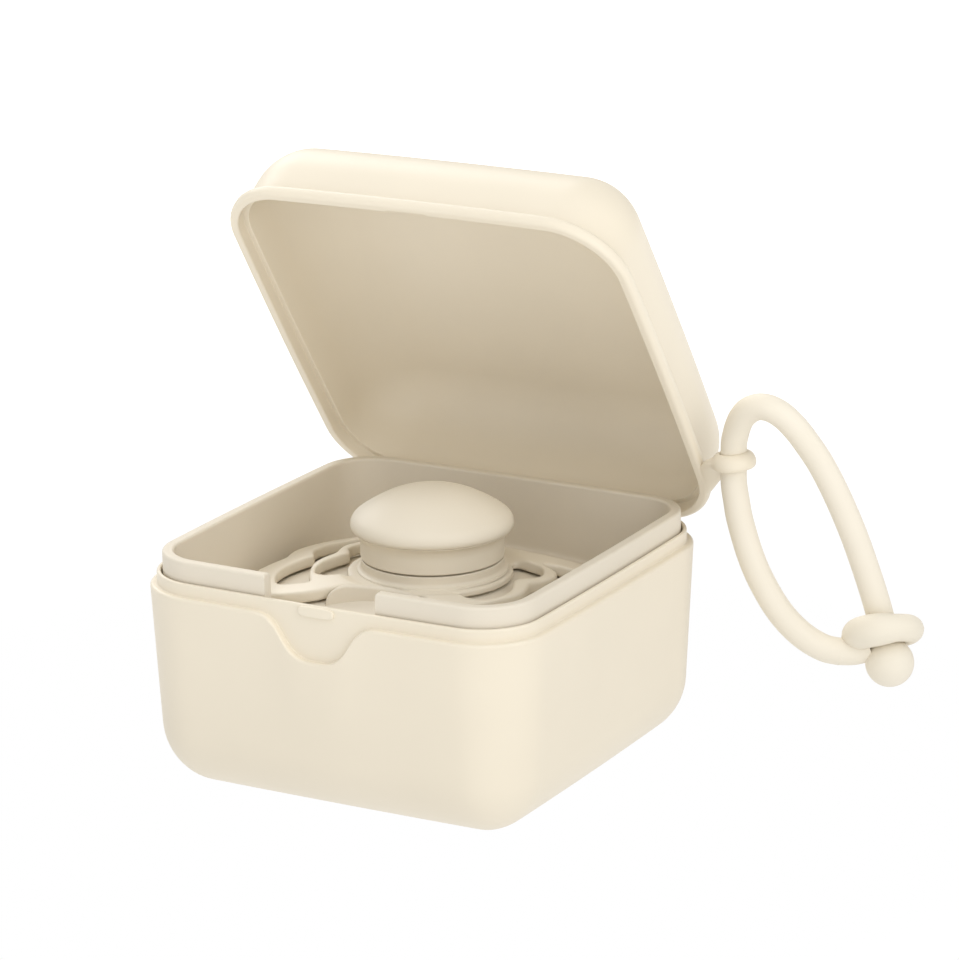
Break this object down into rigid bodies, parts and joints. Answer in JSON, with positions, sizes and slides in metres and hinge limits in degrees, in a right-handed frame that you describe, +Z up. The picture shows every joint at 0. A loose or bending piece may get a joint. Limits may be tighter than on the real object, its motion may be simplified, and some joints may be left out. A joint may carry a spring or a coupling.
{
  "type": "pacifier box",
  "caption": "Rounded square travel box with a hinged lid, an inner tray, a pacifier lying on it and a loop strap through an ear on the lid.",
  "frame": {"origin": "middle of the flat underside of the case", "axes": "+Z up, +X to the right, -Y to the front where the catch is; the lid is hinged at +Y"},
  "size_m": [0.1044, 0.0774, 0.0933],
  "materials": {
    "case_plastic": "satin",
    "tray_plastic": "fine grain",
    "lid_plastic": "satin",
    "shield_plastic": "satin",
    "knob_plastic": "satin",
    "teat_rubber": "smooth",
    "strap_silicone": "matte",
    "pin_steel": "drawn"
  },
  "bodies": {
    "case": {"outer_case": "case_plastic", "inner_tray": "tray_plastic", "hinge_pin": "pin_steel"},
    "lid": {"lid": "lid_plastic"},
    "pacifier": {"pacifier_shield": "shield_plastic", "pacifier_teat": "teat_rubber", "knob_body": "knob_plastic", "knob_cap": "knob_plastic"},
    "strap": {"strap_cord_upper": "strap_silicone", "strap_cord_lower": "strap_silicone", "strap_ring": "strap_silicone", "strap_ball": "strap_silicone"}
  },
  "joints": [
    {"name": "lid_hinge", "type": "hinge", "parent": "case", "child": "lid", "pos_m": [0, 0.0343, 0.03224], "axis": [-1, 0, 0], "range_deg": [-55.23, 44.77]},
    {"name": "pacifier_lift", "type": "slide", "parent": "case", "child": "pacifier", "axis": [0, 0, 1], "range_m": [0, 0.004]},
    {"name": "strap_swivel", "type": "hinge", "parent": "lid", "child": "strap", "pos_m": [0.04, 0.0264, 0.04636], "axis": [0, 0, 1], "range_deg": [-45, 30]}
  ]
}
